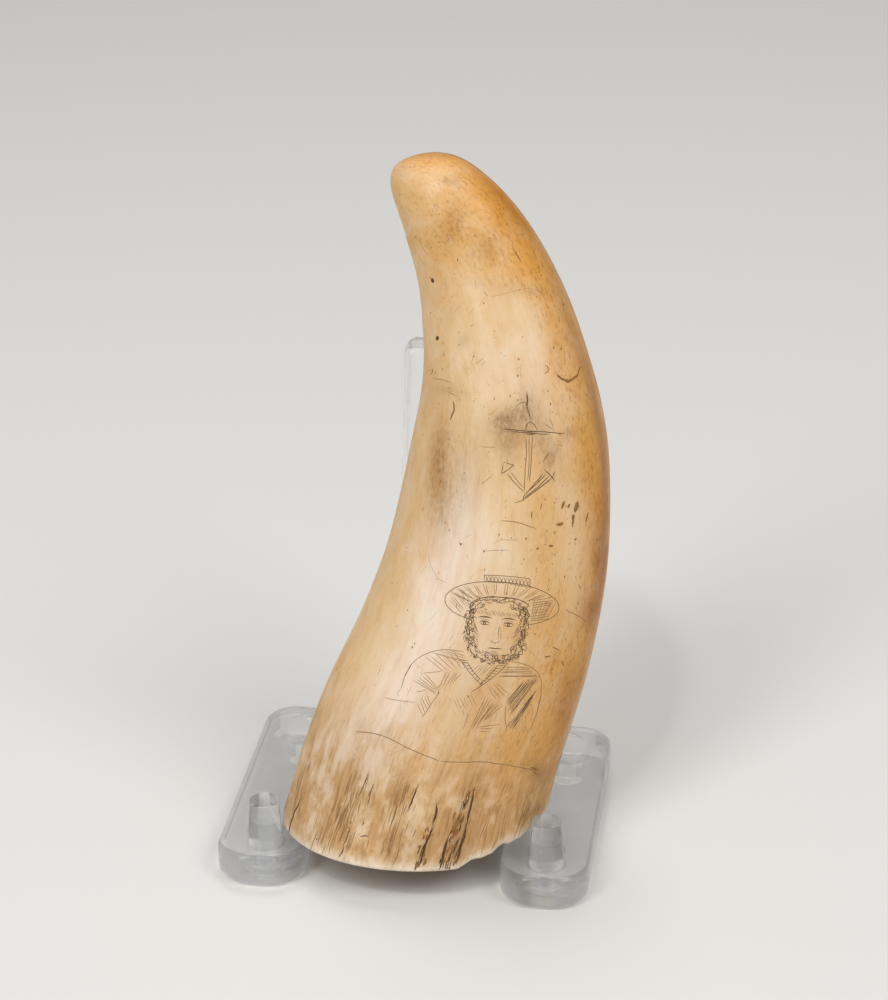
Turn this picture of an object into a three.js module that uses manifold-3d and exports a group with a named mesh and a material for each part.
// A scrimshaw whale tooth, standing in its clear acrylic easel.
// Millimetres, +Z up. X runs across the easel, +Y to its back, and the easel stands on Z = 0.
// The exported group is moved so that its origin is the middle of the whole object's footprint.

import * as THREE from 'three';
import { mergeVertices } from 'three/addons/utils/BufferGeometryUtils.js';
import Module from 'manifold-3d';

const wasm = await Module();
wasm.setup();

// Fits
const restGap = 0.3; // between two pieces that rest on each other
const pegClearance = 0.3; // all round a peg in its hole

// Easel base, a flat U with two feet and a bar across the back
const plateThick = 6.5;
const footWidth = 16.5;
const footGap = 36.5;
const footLength = 57;
const barWidth = 16;
const edgeRadius = 1.4;
const frontCornerRadius = 6.5;
const rearCornerRadius = 6;
const innerCornerRadius = 4;
const spareHoleInset = 8.6;
const spareMouthRadius = 1.3;

// Pegs, tapered above the plate and straight in their holes
const pegDiameter = 6.3;
const pegTopDiameter = 5.5;
const pegRise = 6.7;
const pegInset = 9.6;
const pegEdgeRadius = 0.4;
const pegMouthRadius = 0.5;

// Upright, drafted on all four sides as it was moulded
const uprightTop = 90.5;
const uprightBaseWidth = 15.5;
const uprightTopWidth = 10.8;
const uprightBaseThick = 8.5;
const uprightTopThick = 7.5;
const uprightCornerRadius = 1.8;
const uprightFillet = 2;
const uprightRoot = 2; // how far its foot runs down inside the bar

// Tooth, from the rim up to the tip: its rise and its sweep along the broad side are shares of its
// height, its width and its depth are shares of the rim's half width
const toothHeight = 120.4;
const rimHalfWidth = 24.8;
const toothStations = [
  { rise: 0, sweep: 0, width: 1, depth: 0.75 },
  { rise: 0.125, sweep: 0.033, width: 0.952, depth: 0.706 },
  { rise: 0.289, sweep: 0.093, width: 0.875, depth: 0.669 },
  { rise: 0.429, sweep: 0.127, width: 0.815, depth: 0.641 },
  { rise: 0.589, sweep: 0.14, width: 0.726, depth: 0.593 },
  { rise: 0.723, sweep: 0.13, width: 0.601, depth: 0.504 },
  { rise: 0.851, sweep: 0.094, width: 0.484, depth: 0.415 },
  { rise: 0.947, sweep: 0.037, width: 0.367, depth: 0.323 },
  { rise: 1, sweep: -0.038, width: 0.222, depth: 0.198 },
];
const toothYaw = THREE.MathUtils.degToRad(4.5);
const toothOffset = 0.4; // of the rim's middle from the easel's middle
const tipStart = 0.9; // share of the tooth's run where the round tip begins
const rimSettle = 0.3; // share of its run over which the sections turn from level to square
const cavityDepth = 42;
const cavityWall = 4.6;
const cavityCurve = 0.75; // under 1 gives the cone slightly swollen sides

// Broken rim, right front: degrees round the rim from its right end, and share of the greatest loss
const rimBreakHeight = 3.9;
const rimBreak = [
  [-67, 0],
  [-62, 0.33],
  [-52, 0.41],
  [-48, 0.77],
  [-38, 0.69],
  [-26, 0.92],
  [-12, 1],
  [4, 0.67],
  [16, 0.28],
  [24, 0],
];

// Facets
const toothSides = 48;
const toothRings = 30;
const tipRings = 6;
const cavityRings = 6;
const edgeSteps = 3;
const cornerSteps = 5;
const roundSides = 24;
const settleSteps = 16;
const settlePasses = 3;

// Sizes and places that follow from the ones above
const easelHalf = footGap / 2 + footWidth;
const pegX = (footGap + footWidth) / 2;
const holeRadius = pegDiameter / 2 + pegClearance;
const uprightY = footLength - barWidth / 2;
const rimHeight = plateThick + restGap;

const acrylic = new THREE.MeshStandardMaterial({
  color: 0xdfe4e2,
  roughness: 0.08,
  metalness: 0,
  transparent: true,
  opacity: 0.35,
});
const agedTooth = new THREE.MeshStandardMaterial({ color: 0xe2bd88, roughness: 0.38, metalness: 0 });

// Closed skin over rings of equal length, with one point to close each end
function loft(rings, startPoint, endPoint) {
  const sides = rings[0].length;
  const points = [startPoint, ...rings.flat(), endPoint];
  const last = points.length - 1;
  const index = [];
  for (let side = 0; side < sides; side += 1) {
    const next = (side + 1) % sides;
    index.push(0, 1 + next, 1 + side);
    for (let ring = 0; ring < rings.length - 1; ring += 1) {
      const low = 1 + ring * sides;
      const high = low + sides;
      index.push(low + side, low + next, high + next);
      index.push(low + side, high + next, high + side);
    }
    const top = 1 + (rings.length - 1) * sides;
    index.push(top + side, top + next, last);
  }
  const geometry = new THREE.BufferGeometry().setFromPoints(points);
  geometry.setIndex(index);
  geometry.computeVertexNormals();
  return geometry;
}

function toSolid(geometry) {
  const bare = geometry.clone();
  bare.deleteAttribute('normal');
  bare.deleteAttribute('uv');
  const merged = mergeVertices(bare, 1e-5);
  return new wasm.Manifold(new wasm.Mesh({
    numProp: 3,
    vertProperties: new Float32Array(merged.attributes.position.array),
    triVerts: new Uint32Array(merged.index.array),
  }));
}

function fromSolid(solid) {
  const mesh = solid.getMesh();
  const geometry = new THREE.BufferGeometry();
  geometry.setAttribute('position', new THREE.BufferAttribute(new Float32Array(mesh.vertProperties), 3));
  geometry.setIndex(new THREE.BufferAttribute(new Uint32Array(mesh.triVerts), 1));
  geometry.computeVertexNormals();
  return geometry;
}

// Lathe profile [radius, height], turned about Z
function turned(profile) {
  const points = profile.map(([radius, height]) => new THREE.Vector2(radius, height));
  return new THREE.LatheGeometry(points, roundSides).rotateX(Math.PI / 2);
}

// Quarter round from the first angle to the second, as [radius, height] points
function arcProfile(centreRadius, centreHeight, radius, from, to) {
  return Array.from({ length: edgeSteps + 1 }, (_, step) => {
    const angle = THREE.MathUtils.lerp(from, to, step / edgeSteps);
    return [centreRadius + radius * Math.cos(angle), centreHeight + radius * Math.sin(angle)];
  });
}

function basePlate() {
  const inset = edgeRadius; // the extrusion's bevel grows the outline back by this much
  const outer = easelHalf - inset;
  const inner = footGap / 2 + inset;
  const front = inset;
  const back = footLength - inset;
  const barFront = footLength - barWidth + inset;
  const frontRadius = frontCornerRadius - inset;
  const rearRadius = rearCornerRadius - inset;
  const gapRadius = innerCornerRadius + inset;

  const outline = new THREE.Shape();
  outline.moveTo(-outer, front + frontRadius);
  outline.absarc(-outer + frontRadius, front + frontRadius, frontRadius, Math.PI, 1.5 * Math.PI);
  outline.absarc(-inner - frontRadius, front + frontRadius, frontRadius, 1.5 * Math.PI, 2 * Math.PI);
  outline.absarc(-inner + gapRadius, barFront - gapRadius, gapRadius, Math.PI, 0.5 * Math.PI, true);
  outline.absarc(inner - gapRadius, barFront - gapRadius, gapRadius, 0.5 * Math.PI, 0, true);
  outline.absarc(inner + frontRadius, front + frontRadius, frontRadius, Math.PI, 1.5 * Math.PI);
  outline.absarc(outer - frontRadius, front + frontRadius, frontRadius, 1.5 * Math.PI, 2 * Math.PI);
  outline.absarc(outer - rearRadius, back - rearRadius, rearRadius, 0, 0.5 * Math.PI);
  outline.absarc(-outer + rearRadius, back - rearRadius, rearRadius, 0.5 * Math.PI, Math.PI);
  outline.closePath();

  const plate = new THREE.ExtrudeGeometry(outline, {
    depth: plateThick - 2 * edgeRadius,
    curveSegments: cornerSteps,
    bevelThickness: edgeRadius,
    bevelSize: edgeRadius,
    bevelSegments: edgeSteps,
  });
  return plate.translate(0, 0, edgeRadius);
}

// What a peg hole removes from the plate, with a rounded mouth above and below
function holeCutter(mouthRadius) {
  const margin = 1;
  const wide = holeRadius + mouthRadius;
  const profile = [
    [0, -margin],
    [wide, -margin],
    ...arcProfile(wide, mouthRadius, mouthRadius, 1.5 * Math.PI, Math.PI),
    ...arcProfile(wide, plateThick - mouthRadius, mouthRadius, Math.PI, 0.5 * Math.PI),
    [wide, plateThick + margin],
    [0, plateThick + margin],
  ];
  return turned(profile);
}

// Rectangle with round corners, level at the given height
function roundedSection(width, thick, radius, height) {
  const ring = [];
  for (let corner = 0; corner < 4; corner += 1) {
    const sideX = corner === 0 || corner === 3 ? 1 : -1;
    const sideY = corner < 2 ? 1 : -1;
    for (let step = 0; step <= cornerSteps; step += 1) {
      const angle = (corner + step / cornerSteps) * 0.5 * Math.PI;
      ring.push(new THREE.Vector3(
        sideX * (width / 2 - radius) + radius * Math.cos(angle),
        uprightY + sideY * (thick / 2 - radius) + radius * Math.sin(angle),
        height,
      ));
    }
  }
  return ring;
}

// Width and thickness of the upright at a height, between its foot and its top
function uprightSize(height) {
  const share = (height - plateThick) / (uprightTop - plateThick);
  return {
    width: THREE.MathUtils.lerp(uprightBaseWidth, uprightTopWidth, share),
    thick: THREE.MathUtils.lerp(uprightBaseThick, uprightTopThick, share),
  };
}

function upright() {
  const rings = [];
  const addRing = (height, grow) => {
    const { width, thick } = uprightSize(height);
    const radius = uprightCornerRadius + Math.max(grow, -edgeRadius);
    rings.push(roundedSection(width + 2 * grow, thick + 2 * grow, radius, height));
  };
  addRing(plateThick - uprightRoot, uprightFillet);
  for (let step = 0; step <= cornerSteps; step += 1) {
    const angle = (step / cornerSteps) * 0.5 * Math.PI;
    addRing(plateThick + uprightFillet * (1 - Math.cos(angle)), uprightFillet * (1 - Math.sin(angle)));
  }
  for (let step = 0; step <= edgeSteps; step += 1) {
    const angle = (step / edgeSteps) * 0.5 * Math.PI;
    addRing(uprightTop - edgeRadius * (1 - Math.sin(angle)), -edgeRadius * (1 - Math.cos(angle)));
  }
  const foot = new THREE.Vector3(0, uprightY, plateThick - uprightRoot);
  const crown = new THREE.Vector3(0, uprightY, uprightTop);
  return loft(rings, foot, crown);
}

function easelGeometry() {
  let body = toSolid(basePlate()).add(toSolid(upright()));
  for (const side of [-1, 1]) {
    const front = holeCutter(pegMouthRadius).translate(side * pegX, pegInset, 0);
    const spare = holeCutter(spareMouthRadius).translate(side * pegX, footLength - spareHoleInset, 0);
    body = body.subtract(toSolid(front)).subtract(toSolid(spare));
  }
  return fromSolid(body);
}

// A peg stands with its straight shank in the hole, its foot just clear of the table
function pegGeometry() {
  const radius = pegDiameter / 2;
  const topRadius = pegTopDiameter / 2;
  const top = plateThick + pegRise;
  return turned([
    [0, restGap],
    [radius - pegEdgeRadius, restGap],
    [radius, restGap + pegEdgeRadius],
    [radius, plateThick],
    ...arcProfile(topRadius - pegEdgeRadius, top - pegEdgeRadius, pegEdgeRadius, 0, 0.5 * Math.PI),
    [0, top],
  ]);
}

// Height lost from the rim at an angle round it, in degrees from -180 to 180
function rimLoss(degrees) {
  for (let step = 1; step < rimBreak.length; step += 1) {
    const [from, low] = rimBreak[step - 1];
    const [to, high] = rimBreak[step];
    if (degrees >= from && degrees <= to) {
      return rimBreakHeight * THREE.MathUtils.mapLinear(degrees, from, to, low, high);
    }
  }
  return 0;
}

// The tooth's rings for a lean and a place: rim to tip outside, and rim to root of the cavity inside
function toothRingsAt(lean, rimY) {
  const centreCurve = new THREE.CatmullRomCurve3(
    toothStations.map(({ rise, sweep }) => (
      new THREE.Vector3(sweep, rise * Math.tan(lean), rise).multiplyScalar(toothHeight)
    )),
    false,
    'catmullrom',
  );
  const sizeCurve = new THREE.CatmullRomCurve3(
    toothStations.map(({ width, depth }) => (
      new THREE.Vector3(width, depth, 0).multiplyScalar(rimHalfWidth)
    )),
    false,
    'catmullrom',
  );
  const rootRise = toothStations[1].rise * toothHeight;
  const rootRun = rootRise * (toothStations.length - 1); // height gained in a unit of run
  const place = new THREE.Matrix4().makeRotationZ(toothYaw).setPosition(toothOffset, rimY, rimHeight);
  const depthwise = new THREE.Vector3(0, 1, 0);

  const surfacePoint = (run, angle, wall, share) => {
    const centre = centreCurve.getPoint(run);
    const size = sizeCurve.getPoint(run);
    const square = THREE.MathUtils.smoothstep(run, 0, rimSettle);
    const normal = new THREE.Vector3(0, 0, 1).lerp(centreCurve.getTangent(run), square).normalize();
    const widthwise = new THREE.Vector3().crossVectors(depthwise, normal).normalize();
    const across = new THREE.Vector3().crossVectors(normal, widthwise);
    const tip = Math.max(0, (run - tipStart) / (1 - tipStart));
    const round = share * Math.sqrt(1 - tip * tip);
    return centre
      .addScaledVector(widthwise, (size.x - wall) * round * Math.cos(angle))
      .addScaledVector(across, (size.y - wall) * round * Math.sin(angle))
      .applyMatrix4(place);
  };

  const ringAt = (share, runShare, wall, endRun) => {
    const ring = [];
    for (let side = 0; side < toothSides; side += 1) {
      const angle = ((side / toothSides) * 2 - 1) * Math.PI;
      const start = rimLoss(THREE.MathUtils.radToDeg(angle)) / rootRun;
      ring.push(surfacePoint(THREE.MathUtils.lerp(start, endRun, runShare), angle, wall, share));
    }
    return ring;
  };

  const outside = [];
  for (let ring = 0; ring <= toothRings; ring += 1) {
    outside.push(ringAt(1, ring / toothRings, 0, tipStart));
  }
  for (let ring = 1; ring < tipRings; ring += 1) {
    const run = tipStart + (1 - tipStart) * Math.sin((ring / tipRings) * 0.5 * Math.PI);
    outside.push(ringAt(1, 1, 0, run));
  }
  const cavityRun = cavityDepth / rootRun;
  const inside = [];
  for (let ring = 0; ring < cavityRings; ring += 1) {
    const share = ring / cavityRings;
    inside.push(ringAt((1 - share) ** cavityCurve, share, cavityWall, cavityRun));
  }
  return {
    outside,
    inside: inside.reverse(),
    root: surfacePoint(cavityRun, 0, 0, 0),
    tip: surfacePoint(1, 0, 0, 0),
  };
}

// Room left between the tooth and the pegs, and between the tooth and the upright
function pegRoom(rings) {
  let room = Infinity;
  for (const { x, y, z } of rings.outside.flat()) {
    const rise = (z - plateThick) / pegRise;
    if (rise < 1) {
      const radius = THREE.MathUtils.lerp(pegDiameter, pegTopDiameter, rise) / 2;
      room = Math.min(room, Math.hypot(Math.abs(x) - pegX, y - pegInset) - radius);
    }
  }
  return room;
}

function uprightRoom(rings) {
  let room = Infinity;
  const points = rings.outside.flat();
  for (const { x, y, z } of points) {
    const { width, thick } = uprightSize(Math.min(z, uprightTop));
    const beside = Math.max(0, Math.abs(x) - width / 2);
    const before = Math.max(0, uprightY - thick / 2 - y, y - uprightY - thick / 2);
    const above = Math.max(0, z - uprightTop);
    const within = Math.min(width / 2 - Math.abs(x), y - uprightY + thick / 2);
    const clear = Math.hypot(beside, before, above);
    room = Math.min(room, clear > 0 ? clear : -within);
  }
  return room;
}

// Smallest or largest value between two that still leaves the room asked for
function settle(good, bad, roomAt) {
  let kept = good;
  let lost = bad;
  for (let step = 0; step < settleSteps; step += 1) {
    const middle = (kept + lost) / 2;
    if (roomAt(middle) >= restGap) {
      kept = middle;
    } else {
      lost = middle;
    }
  }
  return kept;
}

// The tooth stands on the feet, is slid forward to the pegs and leans back to the upright
function toothGeometry() {
  const farthest = uprightY - toothStations[0].depth * rimHalfWidth;
  let rimY = farthest;
  let lean = 0;
  for (let pass = 0; pass < settlePasses; pass += 1) {
    rimY = settle(farthest, pegInset, (y) => pegRoom(toothRingsAt(lean, y)));
    lean = settle(0, Math.PI / 4, (angle) => uprightRoom(toothRingsAt(angle, rimY)));
  }
  const rings = toothRingsAt(lean, rimY);
  return loft([...rings.inside, ...rings.outside], rings.root, rings.tip);
}

function named(name, geometry, material) {
  const mesh = new THREE.Mesh(geometry, material);
  mesh.name = name;
  return mesh;
}

const group = new THREE.Group();
group.add(named('tooth', toothGeometry(), agedTooth));
group.add(named('easel', easelGeometry(), acrylic));
for (const [side, name] of [[-1, 'peg_left'], [1, 'peg_right']]) {
  const peg = named(name, pegGeometry(), acrylic);
  peg.position.set(side * pegX, pegInset, 0);
  group.add(peg);
}

const bounds = new THREE.Box3().setFromObject(group, true);
const middle = bounds.getCenter(new THREE.Vector3());
group.position.set(-middle.x, -middle.y, -bounds.min.z);

export default group;
